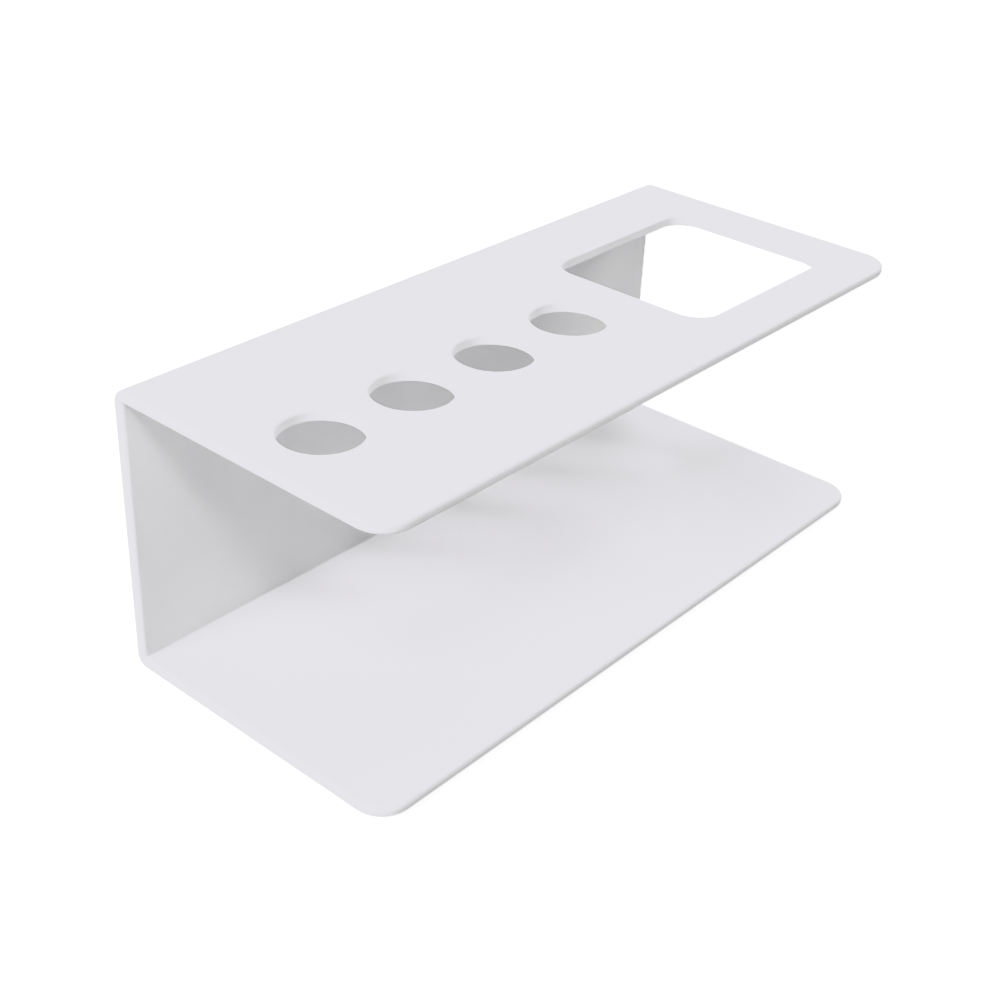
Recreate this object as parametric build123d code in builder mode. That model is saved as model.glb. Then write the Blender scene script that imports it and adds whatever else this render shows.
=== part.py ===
"""Airbrush holder stand: one bent sheet of white acrylic on four stick-on feet.

The stand is a C seen from its end: a base plate, a wall at the back and a top plate, all one
sheet. The top plate has a row of four round holes for airbrushes and one rounded window for a
bottle or a cleaning pot.

Millimetres. X runs along the stand with the window at +X, the wall is at +Y, Z is up.
The origin is on the table, under the middle of the stand.
"""

import os

from build123d import *

# ---- driving dimensions ------------------------------------------------------------------
length = 200.0          # along X
depth = 86.5            # front edge to the outside of the wall
height = 77.2           # underside of the base to the upper face of the top plate
sheet = 3.0
bend_inside = 0.4       # inner radius of both hot bends
corner_radius = 8.3     # the four free corners at the front
edge_radius = 1.2       # outer edges of the sheet, rounded on both faces

hole_diameter = 20.0
hole_count = 4
hole_pitch = 28.3
first_hole_from_end = 19.6
row_from_back = 47.8    # the holes and the window share this line

window_width = 59.0     # along X
window_depth = 49.6     # along Y
window_from_end = 13.6
window_radius = 7.3
rim_radius = 0.6        # rims of the holes and of the window

foot_diameter = 10.0
foot_height = 1.5
foot_edge_radius = 0.4
foot_inset = 12.0       # foot centre to the plate's edges

# ---- levels and positions worked out from them -------------------------------------------
bend_outside = bend_inside + sheet
front_y = -depth / 2
back_y = depth / 2
base_z = foot_height
top_z = base_z + height
row_y = back_y - row_from_back
row_middle_x = -length / 2 + first_hole_from_end + (hole_count - 1) * hole_pitch / 2
window_x = length / 2 - window_from_end - window_width / 2

os.makedirs("parts", exist_ok=True)

# ---- the sheet ---------------------------------------------------------------------------
with BuildPart() as stand_body:
    # the C, drawn as its outer line and thickened inwards
    with BuildSketch(Plane.YZ):
        with BuildLine():
            FilletPolyline(
                (front_y, base_z),
                (back_y, base_z),
                (back_y, top_z),
                (front_y, top_z),
                radius=bend_outside,
            )
            offset(amount=sheet, side=Side.LEFT)
        make_face()
    extrude(amount=length / 2, both=True)

    # free corners of the base plate and of the top plate
    front_corners = stand_body.edges().filter_by(Axis.Z).group_by(Axis.Y)[0]
    fillet(front_corners, radius=corner_radius)

    # the outer edges are rounded all the way round: all edges but the short ones through the
    # thickness and the lines along which the flat sheet runs into a bend
    all_edges = stand_body.edges()
    through_sheet = all_edges.filter_by(Axis.Z).filter_by(lambda e: e.length < 1.5 * sheet)
    bend_lines = all_edges.filter_by(Axis.X).filter_by(
        lambda e: e.center().Y > back_y - 1.5 * bend_outside
    )
    fillet(all_edges - through_sheet - bend_lines, radius=edge_radius)

    # airbrush holes and the window, with softened rims
    with BuildSketch(Plane.XY.offset(top_z)):
        with Locations((row_middle_x, row_y)):
            with GridLocations(hole_pitch, 0, hole_count, 1):
                Circle(hole_diameter / 2)
        with Locations((window_x, row_y)):
            RectangleRounded(window_width, window_depth, window_radius)
    extrude(amount=-sheet, mode=Mode.SUBTRACT)
    cut_edges = stand_body.edges(Select.LAST)
    fillet(cut_edges - cut_edges.filter_by(Axis.Z), radius=rim_radius)

stand_body.part.label = "stand_body"
export_step(stand_body.part, "parts/stand_body.step")

# ---- the feet ----------------------------------------------------------------------------
foot_places = {
    "foot_front_left": (-1, -1),
    "foot_front_right": (1, -1),
    "foot_back_left": (-1, 1),
    "foot_back_right": (1, 1),
}

for name, (side_x, side_y) in foot_places.items():
    foot_centre = (side_x * (length / 2 - foot_inset), side_y * (depth / 2 - foot_inset))
    with BuildPart() as foot:
        with BuildSketch(Plane.XY):
            with Locations(foot_centre):
                Circle(foot_diameter / 2)
        extrude(amount=foot_height)
        ground_rim = foot.edges().group_by(Axis.Z)[0]
        fillet(ground_rim, radius=foot_edge_radius)
    foot.part.label = name
    export_step(foot.part, f"parts/{name}.step")
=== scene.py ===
"""Looks of the airbrush holder stand: satin acrylic sheet, silicone feet, studio and camera.

Metres, in the same frame as the CAD: X along the stand with the window at +X, the wall at +Y,
Z up, the origin on the table under the middle of the stand.
"""

import math

import bmesh
import bpy
from mathutils import Matrix, Vector


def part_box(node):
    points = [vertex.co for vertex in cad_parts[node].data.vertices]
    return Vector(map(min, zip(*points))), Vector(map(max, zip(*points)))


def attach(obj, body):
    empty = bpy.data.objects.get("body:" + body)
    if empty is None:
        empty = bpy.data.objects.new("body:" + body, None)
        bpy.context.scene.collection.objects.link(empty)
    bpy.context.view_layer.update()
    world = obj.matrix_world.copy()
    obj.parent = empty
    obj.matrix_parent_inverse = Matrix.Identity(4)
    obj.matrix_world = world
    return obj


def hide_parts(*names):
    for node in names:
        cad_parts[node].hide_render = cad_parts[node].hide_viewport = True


MM = 0.001

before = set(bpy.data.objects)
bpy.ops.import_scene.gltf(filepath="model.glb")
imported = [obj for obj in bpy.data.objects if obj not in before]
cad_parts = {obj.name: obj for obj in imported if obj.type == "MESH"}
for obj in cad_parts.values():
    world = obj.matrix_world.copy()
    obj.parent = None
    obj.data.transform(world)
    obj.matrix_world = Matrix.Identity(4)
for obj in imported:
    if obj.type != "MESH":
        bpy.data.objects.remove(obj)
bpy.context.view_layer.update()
scene = bpy.context.scene

# the bent sheet's own box: its ends, its front and back, its underside and its upper face
sheet_low, sheet_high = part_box("stand_body")


# ---- node helpers ------------------------------------------------------------------------
def new_material(name):
    """An empty node material; returns (material, nodes, links, principled shader)."""
    material = bpy.data.materials.new(name)
    material.use_nodes = True
    nodes = material.node_tree.nodes
    links = material.node_tree.links
    nodes.clear()
    output = nodes.new("ShaderNodeOutputMaterial")
    shader = nodes.new("ShaderNodeBsdfPrincipled")
    links.new(shader.outputs["BSDF"], output.inputs["Surface"])
    return material, nodes, links, shader


def noise(nodes, links, place, wavelength, detail=2.0, roughness=0.5):
    """A noise texture whose features are about one wavelength (metres) across."""
    texture = nodes.new("ShaderNodeTexNoise")
    texture.inputs["Scale"].default_value = 1.0 / wavelength
    texture.inputs["Detail"].default_value = detail
    texture.inputs["Roughness"].default_value = roughness
    links.new(place, texture.inputs["Vector"])
    return texture.outputs["Fac"]


def remap(nodes, links, value, low, high, from_low=0.3, from_high=0.7):
    """Maps a noise value's usual span onto low..high."""
    node = nodes.new("ShaderNodeMapRange")
    node.inputs["From Min"].default_value = from_low
    node.inputs["From Max"].default_value = from_high
    node.inputs["To Min"].default_value = low
    node.inputs["To Max"].default_value = high
    links.new(value, node.inputs["Value"])
    return node.outputs["Result"]


def calc(nodes, links, operation, *values):
    """One step of arithmetic on sockets and plain numbers."""
    node = nodes.new("ShaderNodeMath")
    node.operation = operation
    for socket, value in zip(node.inputs, values):
        if isinstance(value, (int, float)):
            socket.default_value = value
        else:
            links.new(value, socket)
    return node.outputs["Value"]


def bump(nodes, links, height, depth, under=None):
    """A bump of the given depth (metres for a full-range height), laid over another one."""
    node = nodes.new("ShaderNodeBump")
    node.inputs["Strength"].default_value = 1.0
    node.inputs["Distance"].default_value = depth
    links.new(height, node.inputs["Height"])
    if under is not None:
        links.new(under, node.inputs["Normal"])
    return node.outputs["Normal"]


def colour_mix(nodes, links, factor, first, second):
    """Mixes two plain colours by a factor."""
    node = nodes.new("ShaderNodeMix")
    node.data_type = "RGBA"
    links.new(factor, node.inputs["Factor"])
    node.inputs["A"].default_value = (*first, 1.0)
    node.inputs["B"].default_value = (*second, 1.0)
    return node.outputs["Result"]


# ---- mesh helper -------------------------------------------------------------------------
def turned(name, profile, origin, around):
    """A mesh turned about a vertical axis through the origin, from (radius, height) points."""
    origin = Vector(origin)
    shape = bmesh.new()
    rings = []
    for out, up in profile:
        turns = [2 * math.pi * k / around for k in range(around if out else 1)]
        places = [Vector((out * math.cos(a), out * math.sin(a), up)) for a in turns]
        rings.append([shape.verts.new(origin + place) for place in places])
    for upper, lower in zip(rings, rings[1:]):
        for k in range(around):
            after = (k + 1) % around
            if len(upper) == 1:
                shape.faces.new((upper[0], lower[k], lower[after]))
            elif len(lower) == 1:
                shape.faces.new((upper[k], lower[0], upper[after]))
            else:
                shape.faces.new((upper[k], lower[k], lower[after], upper[after]))
    bmesh.ops.recalc_face_normals(shape, faces=shape.faces)
    for face in shape.faces:
        face.smooth = True
    mesh = bpy.data.meshes.new(name)
    shape.to_mesh(mesh)
    shape.free()
    return mesh


# ---- materials ---------------------------------------------------------------------------
def acrylic():
    """Satin white acrylic: frosted grain, rippled hot bends, duller edges, faint rub marks."""
    material, nodes, links, shader = new_material("acrylic_white_satin")
    place = nodes.new("ShaderNodeTexCoord").outputs["Object"]
    axes = nodes.new("ShaderNodeSeparateXYZ")
    links.new(place, axes.inputs["Vector"])
    x, y, z = axes.outputs

    # distances from the sheet's ends, front, back, and nearer outer face
    middle_z = (sheet_low.z + sheet_high.z) / 2
    off_middle = calc(nodes, links, "ABSOLUTE", calc(nodes, links, "SUBTRACT", z, middle_z))
    to_face = calc(nodes, links, "SUBTRACT", sheet_high.z - middle_z, off_middle)
    to_end = calc(nodes, links, "SUBTRACT", sheet_high.x, calc(nodes, links, "ABSOLUTE", x))
    to_front = calc(nodes, links, "SUBTRACT", y, sheet_low.y)
    to_back = calc(nodes, links, "SUBTRACT", sheet_high.y, y)

    # masks: 1 on the rounded outer edges and on the two bends, 0 on the flats
    to_edge = calc(nodes, links, "MINIMUM", to_end, to_front)
    edge = remap(nodes, links, to_edge, 1, 0, 0.5 * MM, 1.5 * MM)
    to_bend = calc(nodes, links, "MAXIMUM", to_face, to_back)
    bend = remap(nodes, links, to_bend, 1, 0, 3 * MM, 9 * MM)

    # tone: a slow drift, and a hint of haze where the sheet was heated for the bends
    drift = noise(nodes, links, place, wavelength=45 * MM, detail=3.0)
    shade = remap(nodes, links, drift, 0.0, 1.0)
    shade = calc(nodes, links, "SUBTRACT", shade, calc(nodes, links, "MULTIPLY", bend, 0.35))
    colour = colour_mix(nodes, links, shade, (0.780, 0.774, 0.786), (0.806, 0.800, 0.808))
    links.new(colour, shader.inputs["Base Color"])

    # gloss: satin flats with cloudy patches and long faint rub marks, duller sawn edges
    patches = noise(nodes, links, place, wavelength=9 * MM, detail=4.0)
    gloss = remap(nodes, links, patches, 0.40, 0.50)
    stretched = nodes.new("ShaderNodeMapping")
    stretched.inputs["Rotation"].default_value = (0.0, 0.0, math.radians(24))
    stretched.inputs["Scale"].default_value = (0.04, 1.0, 1.0)
    links.new(place, stretched.inputs["Vector"])
    hairs = noise(nodes, links, stretched.outputs["Vector"], wavelength=0.9 * MM, detail=1.0)
    rubs = remap(nodes, links, hairs, 0.0, -0.06, 0.62, 0.72)
    gloss = calc(nodes, links, "ADD", gloss, rubs)
    gloss = calc(nodes, links, "ADD", gloss, calc(nodes, links, "MULTIPLY", edge, 0.08))
    links.new(gloss, shader.inputs["Roughness"])
    shader.inputs["IOR"].default_value = 1.49

    # relief: waviness of the cast sheet, ripples along the bends, the satin grain
    waves = noise(nodes, links, place, wavelength=22 * MM, detail=1.0)
    ripples = noise(nodes, links, place, wavelength=3.2 * MM, detail=1.0)
    ripples = calc(nodes, links, "MULTIPLY", ripples, bend)
    grain = noise(nodes, links, place, wavelength=0.45 * MM, detail=2.0)
    normal = bump(nodes, links, waves, depth=0.05 * MM)
    normal = bump(nodes, links, ripples, depth=0.03 * MM, under=normal)
    normal = bump(nodes, links, grain, depth=0.004 * MM, under=normal)
    links.new(normal, shader.inputs["Normal"])
    return material


def silicone():
    """Milky translucent silicone of the stick-on feet, with a soft mould texture."""
    material, nodes, links, shader = new_material("silicone_milky")
    place = nodes.new("ShaderNodeTexCoord").outputs["Object"]

    cloud = noise(nodes, links, place, wavelength=3 * MM, detail=3.0)
    shade = remap(nodes, links, cloud, 0.0, 1.0)
    colour = colour_mix(nodes, links, shade, (0.60, 0.61, 0.60), (0.70, 0.71, 0.69))
    links.new(colour, shader.inputs["Base Color"])

    gloss = remap(nodes, links, cloud, 0.34, 0.48)
    links.new(gloss, shader.inputs["Roughness"])
    shader.inputs["IOR"].default_value = 1.41
    shader.inputs["Subsurface Weight"].default_value = 0.5
    shader.inputs["Subsurface Radius"].default_value = (1.0, 1.0, 0.9)
    shader.inputs["Subsurface Scale"].default_value = 1.2 * MM

    skin = noise(nodes, links, place, wavelength=0.5 * MM, detail=2.0)
    links.new(bump(nodes, links, skin, depth=0.01 * MM), shader.inputs["Normal"])
    return material


def studio_floor():
    """Seamless white paper under the stand."""
    material, nodes, links, shader = new_material("floor_paper")
    place = nodes.new("ShaderNodeTexCoord").outputs["Object"]
    fibre = noise(nodes, links, place, wavelength=1.5 * MM, detail=3.0)
    shade = remap(nodes, links, fibre, 0.0, 1.0)
    colour = colour_mix(nodes, links, shade, (0.84, 0.84, 0.84), (0.86, 0.86, 0.86))
    links.new(colour, shader.inputs["Base Color"])
    shader.inputs["Roughness"].default_value = 0.9
    shader.inputs["Specular IOR Level"].default_value = 0.1
    shader.inputs["Emission Color"].default_value = (1.0, 1.0, 1.0, 1.0)

    # it glows a little, and more far from the stand, so that no horizon shows
    away = nodes.new("ShaderNodeVectorMath")
    away.operation = "LENGTH"
    links.new(place, away.inputs[0])
    glow = remap(nodes, links, away.outputs["Value"], 2.2, 3.2, 0.4, 1.4)
    links.new(glow, shader.inputs["Emission Strength"])
    return material


# ---- dressing the CAD parts --------------------------------------------------------------
def give_material(piece, material):
    piece.data.materials.clear()
    piece.data.materials.append(material)


give_material(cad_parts["stand_body"], acrylic())


# ---- feet --------------------------------------------------------------------------------
def bumper(name, node, material):
    """A stick-on silicone bumper turned from a profile, in the place of its CAD foot.

    From the plate down: a thin adhesive disc, a neck line, a drafted side, a soft ground rim,
    and a dished underside with the moulding gate's nib in the middle.
    """
    low, high = (Vector(corner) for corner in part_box(node))
    radius = (high.x - low.x) / 2
    height = high.z - low.z
    middle = (low + high) / 2
    around = 72
    rim_steps = 6
    rim = 0.38 * MM
    profile = [
        (0.0, height),
        (radius - 0.22 * MM, height),
        (radius - 0.20 * MM, height - 0.04 * MM),
        (radius - 0.20 * MM, height - 0.10 * MM),
        (radius - 0.08 * MM, height - 0.13 * MM),
        (radius, height - 0.22 * MM),
        (radius - 0.01 * MM, height - 0.30 * MM),
    ]
    for step in range(rim_steps + 1):
        turn = math.radians(90 * step / rim_steps)
        out = radius - 0.10 * MM - rim * (1 - math.cos(turn))
        profile.append((out, rim * (1 - math.sin(turn))))
    profile += [
        (radius - 0.85 * MM, 0.0),
        (radius - 1.05 * MM, 0.03 * MM),
        (radius - 1.60 * MM, 0.10 * MM),
        (0.62 * MM, 0.16 * MM),
        (0.50 * MM, 0.14 * MM),
        (0.42 * MM, 0.05 * MM),
        (0.25 * MM, 0.03 * MM),
        (0.0, 0.03 * MM),
    ]

    mesh = turned(name, profile, (middle.x, middle.y, low.z), around)
    piece = bpy.data.objects.new(name, mesh)
    scene.collection.objects.link(piece)
    give_material(piece, material)
    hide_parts(node)
    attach(piece, "root")


silicone_material = silicone()
for corner in ("front_left", "front_right", "back_left", "back_right"):
    bumper(f"bumper_{corner}", f"foot_{corner}", silicone_material)

# ---- floor -------------------------------------------------------------------------------
# a round sheet of paper that curves up into a wall all round; it is lit but lights nothing
floor_radius = 1.7
cove_radius = 0.8
wall_height = 3.5
flat_rings = 8
cove_steps = 16
floor_around = 96
floor_profile = [(floor_radius * k / flat_rings, 0.0) for k in range(flat_rings + 1)]
for step in range(1, cove_steps + 1):
    turn = math.radians(90 * step / cove_steps)
    out = floor_radius + cove_radius * math.sin(turn)
    floor_profile.append((out, cove_radius * (1 - math.cos(turn))))
floor_profile.append((floor_radius + cove_radius, wall_height))

floor_mesh = turned("studio_floor", floor_profile, (0.0, 0.0, 0.0), floor_around)
floor = bpy.data.objects.new("studio_floor", floor_mesh)
scene.collection.objects.link(floor)
give_material(floor, studio_floor())
floor.visible_diffuse = False
floor.visible_glossy = False


# ---- light -------------------------------------------------------------------------------
def direction(azimuth, elevation):
    """Unit vector towards a compass angle and a height: azimuth 0 is -Y, 90 is +X."""
    a = math.radians(azimuth)
    e = math.radians(elevation)
    return Vector((math.sin(a) * math.cos(e), -math.cos(a) * math.cos(e), math.sin(e)))


def softbox(name, azimuth, elevation, width, height, tilt, watts):
    """A rectangular area light that faces the stand, turned in its own plane by a tilt."""
    light = bpy.data.lights.new(name, "AREA")
    light.shape = "RECTANGLE"
    light.size = width
    light.size_y = height
    light.energy = watts
    lamp = bpy.data.objects.new(name, light)
    towards = direction(azimuth, elevation)
    lamp.location = towards * softbox_distance
    facing = towards.to_track_quat("Z", "Y").to_matrix()
    lamp.rotation_euler = (facing @ Matrix.Rotation(math.radians(tilt), 3, "Z")).to_euler()
    scene.collection.objects.link(lamp)


softbox_distance = 1.2
softboxes = [
    # name, azimuth, elevation, width, height, tilt, watts
    ("key_left", -97, 30, 0.62, 0.21, 0, 12.6),
    ("key_front", -33, 42, 0.49, 0.31, 0, 2.2),
    ("strip_left", -55, 51, 0.29, 0.024, 3, 3.4),
    ("strip_side", -79, 39, 0.17, 0.028, 22, 1.6),
    ("fill_right", 80, 35, 0.50, 0.35, 0, 7.9),
    ("fill_back", 120, 35, 0.50, 0.35, 0, 2.6),
    ("overhead", 60, 75, 0.40, 0.40, 0, 1.2),
    ("back_wall", 182, 20, 0.60, 0.35, 0, 6.0),
]
for settings in softboxes:
    softbox(*settings)

# the room: dim above, and below as bright as the white paper that lights the stand from beneath
below_horizon = 0.79
above_horizon = 0.03
horizon_blur = 0.02
world = bpy.data.worlds.new("studio")
world.use_nodes = True
room = world.node_tree.nodes
room_links = world.node_tree.links
heading = room.new("ShaderNodeSeparateXYZ")
room_links.new(room.new("ShaderNodeTexCoord").outputs["Generated"], heading.inputs["Vector"])
up = heading.outputs["Z"]
strength = remap(room, room_links, up, below_horizon, above_horizon, -horizon_blur, horizon_blur)
room_links.new(strength, room["Background"].inputs["Strength"])
room["Background"].inputs["Color"].default_value = (1.0, 1.0, 1.0, 1.0)
scene.world = world

# ---- camera ------------------------------------------------------------------------------
camera_azimuth = -50.04
camera_elevation = 31.01
camera_roll = 2.73
camera_distance = 0.4184
aim_point = Vector((-0.0108, 0.0024, 0.0288))

camera_data = bpy.data.cameras.new("camera")
camera_data.sensor_width = 36.0
camera_data.lens = 57.05
camera_data.clip_start = 0.01
camera_data.clip_end = 50.0
camera = bpy.data.objects.new("camera", camera_data)
back = direction(camera_azimuth, camera_elevation)
facing = back.to_track_quat("Z", "Y").to_matrix().to_4x4()
roll = Matrix.Rotation(math.radians(camera_roll), 4, "Z")
camera.matrix_world = Matrix.Translation(aim_point + back * camera_distance) @ facing @ roll
scene.collection.objects.link(camera)
scene.camera = camera

# tone: straight up to the mid tones, then a soft shoulder that holds the white sheet just below
# the paper's white, with a faint lilac in the highlights only
view = scene.view_settings
view.view_transform = "Standard"
view.use_curve_mapping = True
tone = view.curve_mapping
brightest = 3.0
tone.white_level = (brightest, brightest, brightest)
knee = 0.60
shoulder = [
    # scene value, share of the way from the knee to the channel's own plateau
    (knee, 0.0), (0.70, 0.43), (0.80, 0.73), (0.90, 0.91), (1.00, 1.00),
    (1.20, 1.07), (1.50, 1.15),
]
red, green, blue, _ = tone.curves
for channel, plateau in ((red, 0.783), (green, 0.775), (blue, 0.806)):
    for straight in (0.15, 0.30, 0.45, 0.54):
        channel.points.new(straight / brightest, straight)
    for scene_value, share in shoulder:
        channel.points.new(scene_value / brightest, knee + (plateau - knee) * share)
    channel.points.new(2.0 / brightest, 0.88)
tone.update()
